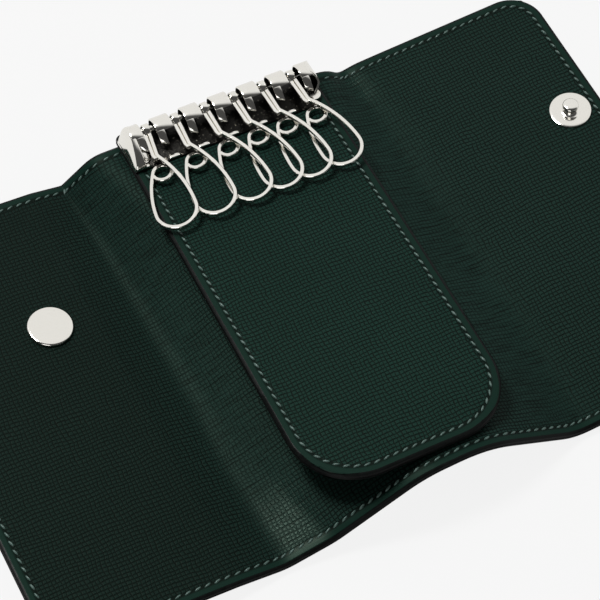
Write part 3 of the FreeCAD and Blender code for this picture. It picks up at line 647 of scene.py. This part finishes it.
bar_half = 23.8
rod_height = 3.25
hood_radius = 2.3
base_back = 2.8
base_front = 7.9
base_wall = 0.6
slot_width = 3.1
hook_pitch = 7.1
hook_count = 6
end_wall = 0.7
leaf_lean = 2.0
scoop_place = 22.5
scoop_belly = 0.7
scoop_reach = 3.3
scoop_curve = 1.4
scoop_turn = 3.9
scoop_inward = 2.4
crown_round = 1.3
plate_end = 20.6
scoop_rows = 16
scoop_columns = 12
sheet_wall = 0.45
roof_stretch = 1.28
roof_sweep = math.radians(140)
leg_width = 1.7
leg_lap = math.radians(8)
leg_sweep = math.radians(75)
leg_turn = 0.9
leg_reach = 1.9
front_foot = 1.0
plate_crease = -3.6
leaf_tip = [(-2.9, 4.95), (-5.4, 3.5), (-7.2, 2.15), (-base_front, 1.3), (-base_front, 0.5), (-7.5, 0.0)]
leaf_flare = 0.2
leaf_arc = math.radians(108)
tile_lap = 0.3
crown_curve = 3
lip_inset = 0.7
lip_low = (0.1, 0.2)
lip_high = (0.95, 0.95)
lip_soft = 0.14
sheet_soft = sheet_wall * 0.3
hook_places = [(number - (hook_count - 1) / 2) * hook_pitch for number in range(hook_count)]


def to_scene(form, matrix):
    """Move a form in millimetres to its place in the scene."""
    bmesh.ops.transform(form, matrix=Matrix.Scale(mm, 4) @ matrix, verts=form.verts)


def softened(form, width, segments, least=30.0):
    """Bevel every edge that turns by more than the least angle."""
    form.normal_update()
    sharp = [edge for edge in form.edges if len(edge.link_faces) == 2
             and edge.calc_face_angle(0.0) > math.radians(least)]
    bmesh.ops.bevel(form, geom=sharp, offset=width, segments=segments, profile=0.5, affect="EDGES",
                    material=-1, clamp_overlap=True)


on_bar = Matrix.Translation(tongue_origin) @ tongue_turn


def rolled_strip(start, finish, first, sweep_angle):
    """A strip of the bar's sheet rolled round the rod, its inner face in near-black steel as painted shade.
    """
    form = bmesh.new()
    rise = form.verts.new((start, hood_radius, rod_height))
    bmesh.ops.rotate(form, cent=(0, 0, rod_height), matrix=Matrix.Rotation(first, 3, "X"), verts=[rise])
    bmesh.ops.spin(form, geom=[rise], cent=(0, 0, rod_height), axis=(1, 0, 0), angle=sweep_angle, steps=20,
                   use_duplicate=False)
    bmesh.ops.scale(form, vec=(1, roof_stretch, 1), verts=form.verts)
    bmesh.ops.translate(form, vec=(0, hood_radius * (1 - roof_stretch), 0), verts=form.verts)
    if first == 0.0:
        foot = form.verts.new((start, hood_radius, base_wall * 0.7))
        form.edges.new((foot, rise))
    drawn = bmesh.ops.extrude_edge_only(form, edges=form.edges[:])["geom"]
    moved = [item for item in drawn if isinstance(item, bmesh.types.BMVert)]
    bmesh.ops.translate(form, vec=(finish - start, 0, 0), verts=moved)
    middle = Vector((0, hood_radius * (1 - roof_stretch), rod_height))
    bmesh.ops.recalc_face_normals(form, faces=form.faces)
    form.normal_update()
    outside = sum(face.normal.dot(face.calc_center_median() - middle) for face in form.faces)
    if outside < 0:
        bmesh.ops.reverse_faces(form, faces=form.faces)
    bmesh.ops.solidify(form, geom=form.faces[:], thickness=sheet_wall)
    bmesh.ops.recalc_face_normals(form, faces=form.faces)
    softened(form, sheet_soft, 2, 60.0)
    form.normal_update()
    for face in form.faces:
        across = face.calc_center_median() - middle
        across.x = 0.0
        # Faces turned in towards the rod take the painted-shade steel.
        if face.normal.dot(across.normalized()) < -0.5:
            face.material_index = 1
    return form


def joined(form, part):
    """Add a finished part to a form."""
    scrap = bpy.data.meshes.new("part")
    part.to_mesh(scrap)
    part.free()
    form.from_mesh(scrap)
    bpy.data.meshes.remove(scrap)


bar_form = bmesh.new()
tile_ends = [-bar_half + leaf_lean - tile_lap]
for place in hook_places:
    tile_ends += [place - slot_width / 2, place + slot_width / 2]
tile_ends.append(scoop_place + 0.1)
for start, finish in zip(tile_ends[::2], tile_ends[1::2]):
    roof_form = rolled_strip(start, finish, 0.0, roof_sweep)
    for vert in roof_form.verts:
        if vert.co.x > scoop_place - sheet_wall:
            vert.co.x -= crown_round * (max(vert.co.z - rod_height, 0.0) / hood_radius) ** crown_curve
    joined(bar_form, roof_form)
    leg_start = start if start > tile_ends[0] else finish - leg_width
    leg_form = rolled_strip(leg_start, leg_start + leg_width, roof_sweep - leg_lap, leg_sweep)
    for vert in leg_form.verts:
        drop = min(max((rod_height + hood_radius * 0.75 - vert.co.z) / hood_radius, 0.0), 1.0)
        vert.co.y += (leg_turn * (leg_start + leg_width - vert.co.x) / leg_width - leg_reach) * drop
    joined(bar_form, leg_form)


def end_leaf():
    """The left cheek: round, tapering to a leaf's point at the front of the base, its face leaning."""
    leaf = bmesh.new()
    outline = [(hood_radius, 0.0), (hood_radius, rod_height)]
    for step in range(1, 9):
        angle = step / 8 * leaf_arc
        outline.append((hood_radius * math.cos(angle), rod_height + hood_radius * math.sin(angle)))
    outline += leaf_tip
    ring = [leaf.verts.new((leaf_lean + end_wall - bar_half, y, z)) for y, z in outline]
    face = leaf.faces.new(ring)
    raised = bmesh.ops.extrude_face_region(leaf, geom=[face])["geom"]
    moved = [item for item in raised if isinstance(item, bmesh.types.BMVert)]
    for vert in moved:
        vert.co.x = leaf_lean * vert.co.z / (rod_height + hood_radius) - bar_half - leaf_flare
    bmesh.ops.recalc_face_normals(leaf, faces=leaf.faces)
    softened(leaf, 0.3, 3, 40.0)
    return leaf


def end_scoop():
    """The right cheek: a bowl of the same sheet, near black inside as painted shade, whose rim runs inwards
    to the base.
    """
    scoop = bmesh.new()
    middle = hood_radius * (1 - roof_stretch)
    top = rod_height + hood_radius
    lip = rod_height + hood_radius * math.sin(roof_sweep)
    rows = []
    for level in range(scoop_rows + 1):
        z = top * level / scoop_rows
        lift = max(z - rod_height, 0.0) / hood_radius
        half = hood_radius * roof_stretch * math.sqrt(max(1.0 - lift * lift, 0.0004))
        lip_front = middle + hood_radius * roof_stretch * math.cos(roof_sweep)
        front = middle - half if z > lip else lip_front - scoop_reach * (1.0 - z / lip) ** scoop_curve
        row = []
        for column in range(scoop_columns + 1):
            y = middle + half + (front - middle - half) * column / scoop_columns
            inward = min(max((-y - scoop_turn) / (scoop_reach - 1.0), 0.0), 1.0)
            x = scoop_place + scoop_belly * math.sin(math.pi * z / top) - scoop_inward * inward ** 1.2
            x -= crown_round * lift ** crown_curve
            row.append(scoop.verts.new((x, y, z)))
        rows.append(row)
    for lower, upper in zip(rows, rows[1:]):
        for column in range(scoop_columns):
            scoop.faces.new((lower[column + 1], lower[column], upper[column], upper[column + 1]))
    bmesh.ops.recalc_face_normals(scoop, faces=scoop.faces)
    scoop.normal_update()
    if sum(face.normal.x for face in scoop.faces) < 0:
        bmesh.ops.reverse_faces(scoop, faces=scoop.faces)
    bmesh.ops.solidify(scoop, geom=scoop.faces[:], thickness=sheet_wall)
    bmesh.ops.recalc_face_normals(scoop, faces=scoop.faces)
    softened(scoop, sheet_soft, 2, 60.0)
    scoop.normal_update()
    for face in scoop.faces:
        # The inside of the bowl takes the painted-shade steel.
        if face.normal.x < -0.5:
            face.material_index = 1
    return scoop


def block(low, high, soft):
    """A plain block between two corners with softened edges."""
    form = bmesh.new()
    bmesh.ops.create_cube(form, size=1.0)
    span = [high[axis] - low[axis] for axis in range(3)]
    bmesh.ops.scale(form, vec=span, verts=form.verts)
    bmesh.ops.translate(form, vec=[(low[axis] + high[axis]) / 2 for axis in range(3)], verts=form.verts)
    if soft:
        softened(form, soft, 2)
    return form


plate_form = block((-bar_half, -base_front, 0.0), (plate_end, base_back, base_wall), 0)
bmesh.ops.bisect_plane(plate_form, geom=plate_form.verts[:] + plate_form.edges[:] + plate_form.faces[:],
                       plane_co=(0, plate_crease, 0), plane_no=(0, 1, 0))
for vert in plate_form.verts:
    if vert.co.z > base_wall / 2 and vert.co.y < plate_crease + 0.1:
        vert.co.z = front_foot if vert.co.y > plate_crease - 0.4 else base_wall * 0.75
softened(plate_form, 0.12, 2)
# The whole base plate takes the painted-shade steel.
for face in plate_form.faces:
    face.material_index = 1
joined(bar_form, plate_form)
joined(bar_form, end_leaf())
joined(bar_form, end_scoop())
for start, finish in zip(tile_ends[:-2:2], tile_ends[1:-2:2]):
    lip_start = (start + lip_inset, lip_low[0] - base_front, lip_low[1])
    lip_finish = (finish - lip_inset, lip_high[0] - base_front, lip_high[1])
    joined(bar_form, block(lip_start, lip_finish, lip_soft))
to_scene(bar_form, on_bar)
key_bar = new_piece(bar_form, "key_bar_sheet", [nickel.material, shade_steel.material])
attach(key_bar, "case")
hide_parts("key_bar")


def plate_node(node):
    """Give a solid of the frame the nickel finish."""
    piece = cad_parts[node]
    piece.data.materials.clear()
    piece.data.materials.append(nickel.material)


def turned(name, outline, spot, matrix, body, node, steps=56):
    """A turned piece from the outline of its half section, as radius and height."""
    form = bmesh.new()
    chain = [form.verts.new((radius, 0, height)) for radius, height in outline]
    line = [form.edges.new(pair) for pair in zip(chain, chain[1:])]
    bmesh.ops.spin(form, geom=chain + line, cent=(0, 0, 0), axis=(0, 0, 1), angle=2 * math.pi, steps=steps,
                   use_merge=True, use_duplicate=False)
    bmesh.ops.remove_doubles(form, verts=form.verts, dist=0.0005)
    bmesh.ops.recalc_face_normals(form, faces=form.faces)
    to_scene(form, matrix @ Matrix.Translation(spot))
    piece = new_piece(form, name, [nickel.material])
    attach(piece, body)
    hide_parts(node)


rod_end = bar_half - leaf_lean - 0.4
rod_place = on_bar @ Matrix.Translation((0, 0, rod_height)) @ Matrix.Rotation(math.pi / 2, 4, "Y")
turned("pivot_rod_pin", [(0, -rod_end), (0.5, -rod_end), (0.68, -rod_end + 0.07), (0.75, -rod_end + 0.25),
                         (0.75, rod_end - 0.25), (0.68, rod_end - 0.07), (0.5, rod_end), (0, rod_end)],
       Vector((0, 0, 0)), rod_place, "case", "pivot_rod", 24)
for node in ("bar_rivets", "rivet_washers"):
    plate_node(node)

# Snap hooks: one strip of spring steel each, folded into an eye round the rod, a twin shank
# and a pear-shaped loop whose left side is the gate. The gate springs in and ends in a curl.
# They lie over one another like shingles, each a little turned aside in its slot.

strip_width = 1.0
strip_wall = 0.9
shank_offset = 0.5
shank_length = 8.0
belly_depth = 15.0
loop_half = 4.5
eye_inside = 0.82
eye_outside = 1.52
eye_width = 1.6
strip_square = 7
shank_start = 1.1
throat_run = 0.5
seam_angle = math.radians(30)
gate_stop = 2.5
curl_radius = 2.1
curl_sweep = math.radians(330)
gate_drop = math.radians(-5.84)
hook_roll = math.radians(-10)
hook_pitch_down = math.radians(2.66)
hook_yaws = [math.radians(angle) for angle in (-8, -3, 1, 2, 2, 3)]
side_span = loop_half - shank_offset
side_radius = (side_span ** 2 + belly_depth ** 2) / (2 * side_span)
throat_angle = math.asin(belly_depth / side_radius)
belly_y = -shank_length - belly_depth
seam_at = Vector((-loop_half * math.cos(seam_angle), belly_y - loop_half * math.sin(seam_angle), 0))


def strip_end(form, place, heading):
    """A rounded section of the strip at a place of its plane, facing along the heading."""
    section = bmesh.ops.create_circle(form, segments=20, radius=1.0)["verts"]
    for vert in section:
        angle = math.atan2(vert.co.y, vert.co.x)
        x, z = math.cos(angle), math.sin(angle)
        swell = (abs(x) ** strip_square + abs(z) ** strip_square) ** (-1 / strip_square)
        vert.co = Vector((x * swell * strip_wall / 2, 0, z * swell * strip_width / 2))
    facing = Matrix.Rotation(heading - math.pi / 2, 3, "Z")
    bmesh.ops.rotate(form, cent=(0, 0, 0), matrix=facing, verts=section)
    bmesh.ops.translate(form, vec=place, verts=section)
    return [edge for edge in form.edges if all(vert in section for vert in edge.verts)]


def run_on(form, ring, way):
    """Draw the strip straight on from its open end."""
    drawn = bmesh.ops.extrude_edge_only(form, edges=ring)["geom"]
    moved = [item for item in drawn if isinstance(item, bmesh.types.BMVert)]
    bmesh.ops.translate(form, vec=way, verts=moved)
    return [item for item in drawn if isinstance(item, bmesh.types.BMEdge)
            and all(vert in moved for vert in item.verts)]


def ring_verts(ring):
    """The corners of the strip's open end."""
    return list({vert for edge in ring for vert in edge.verts})


def bend_on(form, ring, centre, angle, steps):
    """Bend the strip on round a centre in its plane."""
    turned = bmesh.ops.spin(form, geom=ring_verts(ring) + ring, cent=centre, axis=(0, 0, 1), angle=angle,
                            steps=steps, use_duplicate=False)["geom_last"]
    return [item for item in turned if isinstance(item, bmesh.types.BMEdge)]


def close_end(form, ring):
    """Close an open end of the strip."""
    bmesh.ops.edgeloop_fill(form, edges=ring)


def strip_place(yaw, place):
    """Where a strip form lies: rolled on its neighbour, turned aside and sloped to the tongue."""
    lying = Matrix.Rotation(hook_pitch_down, 4, "X") @ Matrix.Rotation(yaw, 4, "Z") @ Matrix.Rotation(
        hook_roll, 4, "Y")
    return on_bar @ Matrix.Translation((place, 0, rod_height)) @ lying


def hook_strip():
    """Twin shank, right side and bottom of the loop, in the strip's plane."""
    form = bmesh.new()
    for side in (-1, 1):
        first = strip_end(form, (side * shank_offset, -shank_start, 0), -math.pi / 2)
        close_end(form, first)
        ring = run_on(form, first, (0, -shank_length + shank_start + throat_run, 0))
        if side < 0:
            ring = run_on(form, ring, (0.35, -0.9, 0))
        else:
            right_centre = Vector((loop_half - side_radius, belly_y, 0))
            throat = Vector((shank_offset, -shank_length, 0))
            half_turn = Matrix.Rotation(throat_angle / 2, 3, "Z")
            bmesh.ops.rotate(form, cent=throat, matrix=half_turn, verts=ring_verts(ring))
            ring = run_on(form, ring, (0.14, -throat_run, 0))
            bmesh.ops.rotate(form, cent=throat, matrix=half_turn, verts=ring_verts(ring))
            ring = bend_on(form, ring, right_centre, -throat_angle, 16)
            ring = bend_on(form, ring, Vector((0, belly_y, 0)), -(math.pi - seam_angle), 18)
        close_end(form, ring)
    return form


def hook_eye():
    """The strip's turn round the rod, flat along the rod."""
    form = bmesh.new()
    half_eye = eye_width / 2
    section = [(-half_eye, eye_inside), (half_eye, eye_inside),
               (half_eye, eye_outside), (-half_eye, eye_outside)]
    ring = [form.verts.new((x, -radius, 0)) for x, radius in section]
    edges = [form.edges.new((ring[number], ring[(number + 1) % 4])) for number in range(4)]
    bmesh.ops.spin(form, geom=ring + edges, cent=(0, 0, 0), axis=(1, 0, 0), angle=2 * math.pi, steps=24,
                   use_merge=True, use_duplicate=False)
    bmesh.ops.recalc_face_normals(form, faces=form.faces)
    softened(form, 0.16, 2, 50.0)
    return form


def gate_strip():
    """Root, left side and curled tip of the loop, in the strip's plane, dropped under the throat."""
    form = bmesh.new()
    left_centre = Vector((side_radius - loop_half, belly_y, 0))
    stop = math.asin((belly_depth - gate_stop) / side_radius)
    ring = strip_end(form, seam_at, math.pi / 2 + seam_angle)
    close_end(form, ring)
    ring = bend_on(form, ring, Vector((0, belly_y, 0)), -seam_angle, 6)
    ring = bend_on(form, ring, left_centre, -stop, 16)
    tip = left_centre + Vector((-math.cos(stop), math.sin(stop), 0)) * side_radius
    curl_centre = tip + Vector((math.cos(stop), -math.sin(stop), 0)) * curl_radius
    ring = bend_on(form, ring, curl_centre, -curl_sweep, 20)
    close_end(form, ring)
    bmesh.ops.rotate(form, cent=seam_at, matrix=Matrix.Rotation(gate_drop, 3, "X"), verts=form.verts)
    return form


for number, (place, yaw) in enumerate(zip(hook_places, hook_yaws), start=1):
    hook_form = hook_strip()
    bmesh.ops.recalc_face_normals(hook_form, faces=hook_form.faces)
    to_scene(hook_form, strip_place(yaw, place))
    eye_form = hook_eye()
    to_scene(eye_form, on_bar @ Matrix.Translation((place, 0, rod_height)))
    joined(hook_form, eye_form)
    gate_form = gate_strip()
    bmesh.ops.recalc_face_normals(gate_form, faces=gate_form.faces)
    to_scene(gate_form, strip_place(yaw, place))
    hook = new_piece(hook_form, f"hook_{number}_strip", [nickel.material])
    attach(hook, f"hook_{number}")
    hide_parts(f"hook_{number}")
    gate = new_piece(gate_form, f"gate_{number}_strip", [nickel.material])
    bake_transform(gate)
    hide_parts(f"gate_{number}")

# Press snap: brass turned and plated in the same nickel. A flat cap and a socket with a ring
# spring clamp the left panel, and a stud and a domed cap clamp the right panel.
# Shut, the stud's head springs into the socket.

left_snap = Vector((-51.868, 17.75, 2.874))
right_snap = Vector((74.532, 17.75, 1.953))
left_axis = Vector((-31.668, 0, 10.938))
right_axis = Vector((31.532, 0, 13.153))
left_lean = math.radians(6.0)
right_lean = math.radians(-3.5)


def about_fold(axis, lean):
    return Matrix.Translation(axis) @ Matrix.Rotation(lean, 4, "Y") @ Matrix.Translation(-axis)


left_place = about_fold(left_axis, left_lean)
right_place = about_fold(right_axis, right_lean)
turned("socket_cap_disc", [(0, -2.0), (1.2, -2.0), (1.2, 0.02), (4.75, 0.02), (4.92, 0.08), (5.0, 0.25),
                           (5.0, 0.55), (4.93, 0.75), (4.76, 0.87), (4.5, 0.9), (2.5, 0.9), (0, 0.9)],
       left_snap, left_place, "left_panel", "socket_cap")
turned("snap_socket_drum", [(0, -2.5), (2.05, -2.5), (2.05, -3.0), (2.6, -3.05), (2.6, -3.7), (2.05, -3.75),
                            (2.05, -4.3), (2.2, -4.5), (2.5, -4.6), (4.2, -4.6), (4.45, -4.52), (4.6, -4.3),
                            (4.6, -2.6), (4.3, -2.02), (0, -2.02)],
       left_snap, left_place, "left_panel", "snap_socket")
turned("snap_stud_post", [(0, 0.02), (4.5, 0.02), (4.72, 0.1), (4.75, 0.3), (4.68, 0.48), (4.45, 0.58),
                          (3.6, 0.6), (2.4, 0.52), (1.8, 0.6), (1.55, 0.85), (1.5, 1.3), (1.6, 1.6),
                          (1.82, 1.85), (1.85, 2.2), (1.76, 2.5), (1.5, 2.72), (1.0, 2.79), (0, 2.8)],
       right_snap, right_place, "right_panel", "snap_stud")
turned("stud_cap_dome", [(0, 0.0), (1.2, 0.0), (1.2, -2.02), (4.8, -2.02), (4.97, -2.15), (5.0, -2.6),
                         (4.9, -3.1), (4.55, -3.65), (4.0, -4.1), (3.4, -4.4), (1.8, -4.4), (0, -4.4)],
       right_snap, right_place, "right_panel", "stud_cap")
plate_node("socket_spring")

# Studio: a white sweep under the case, a small softbox high above it, a wide dim one low in front
# on the left for the metal, and a room that is pale at the back and right and dark at the front.
# The camera stands in front, a little to the left.

sweep_glow = 0.92
sweep_white = (0.945, 0.945, 0.945, 1.0)
sweep_grey = (0.6, 0.6, 0.6, 1.0)
sweep_reach = 3.0
sweep_drop = 0.05
pale_way = (0.6, 0.8, 0.0)
pale_span = (-0.05, 0.3)
room_dark = (0.07, 0.07, 0.07, 1.0)
room_pale = (0.93, 0.93, 0.93, 1.0)
sweep = Finish("white_sweep", Roughness=0.9, Base_Color=sweep_grey, Specular_IOR_Level=0.0)
glow = sweep.node("ShaderNodeEmission", None, {"Color": sweep_white, "Strength": 1.0})
seen = sweep.node("ShaderNodeLightPath", None, None, 0) + sweep.node("ShaderNodeLightPath", None, None, 3)
lit = Value(sweep, sweep.shader.outputs[0])
whitened = sweep.node("ShaderNodeMixShader", None, {0: seen * sweep_glow, 1: lit, 2: glow})
sweep.join(sweep.tree.nodes["Material Output"].inputs["Surface"], whitened)
sweep_form = bmesh.new()
bmesh.ops.create_grid(sweep_form, x_segments=1, y_segments=1, size=sweep_reach)
bmesh.ops.translate(sweep_form, vec=(0, 0, -sweep_drop * mm), verts=sweep_form.verts)
new_piece(sweep_form, "sweep", [sweep.material])

room = bpy.data.worlds.new("room")
room.use_nodes = True
room_nodes = Nodes(room.node_tree)
room_way = room_nodes.node("ShaderNodeTexCoord", None, None, 0)
room_side = room_nodes.node("ShaderNodeVectorMath", {"operation": "DOT_PRODUCT"},
                            {0: room_way, 1: pale_way}, 1)
wall = room_nodes.step(room_side, *pale_span)
room_tone = room_nodes.mix(wall, room_dark, room_pale)
room_nodes.join(room.node_tree.nodes["Background"].inputs[0], room_tone)
room.node_tree.nodes["Background"].inputs[1].default_value = 1.0
scene.world = room


def softbox(name, way, distance, width, height, power):
    """A rectangular lamp that faces the middle of the case."""
    lamp = bpy.data.lights.new(name, "AREA")
    lamp.shape = "RECTANGLE"
    lamp.size = width
    lamp.size_y = height
    lamp.energy = power
    stand = bpy.data.objects.new(name, lamp)
    stand.location = Vector(way).normalized() * distance
    stand.rotation_mode = "QUATERNION"
    stand.rotation_quaternion = (-stand.location).to_track_quat("-Z", "Y")
    scene.collection.objects.link(stand)


softbox("key_softbox", (-0.23, 0.36, 0.9), 1.1, 0.27, 0.27, 11.0)
softbox("side_softbox", (-0.64, -0.74, 0.24), 1.1, 0.6, 0.6, 2.5)

look_at = Vector((2.832, -2.75, 0)) * mm
azimuth = math.radians(-26.82)
elevation = math.radians(58.24)
stand_off = 0.55
focal_px = 2539.27
image_px = 600.0
centre_px = (325.23, 313.65)
back = Vector((math.sin(azimuth) * math.cos(elevation), -math.cos(azimuth) * math.cos(elevation),
               math.sin(elevation)))
lens = bpy.data.cameras.new("camera")
lens.sensor_width = 36.0
lens.lens = focal_px / image_px * lens.sensor_width
lens.shift_x = (image_px / 2 - centre_px[0]) / image_px
lens.shift_y = (centre_px[1] - image_px / 2) / image_px
lens.clip_start = 0.05
camera = bpy.data.objects.new("camera", lens)
camera.location = look_at + back * stand_off
camera.rotation_mode = "QUATERNION"
camera.rotation_quaternion = (-back).to_track_quat("-Z", "Y")
scene.collection.objects.link(camera)
scene.camera = camera
scene.view_settings.view_transform = "Standard"
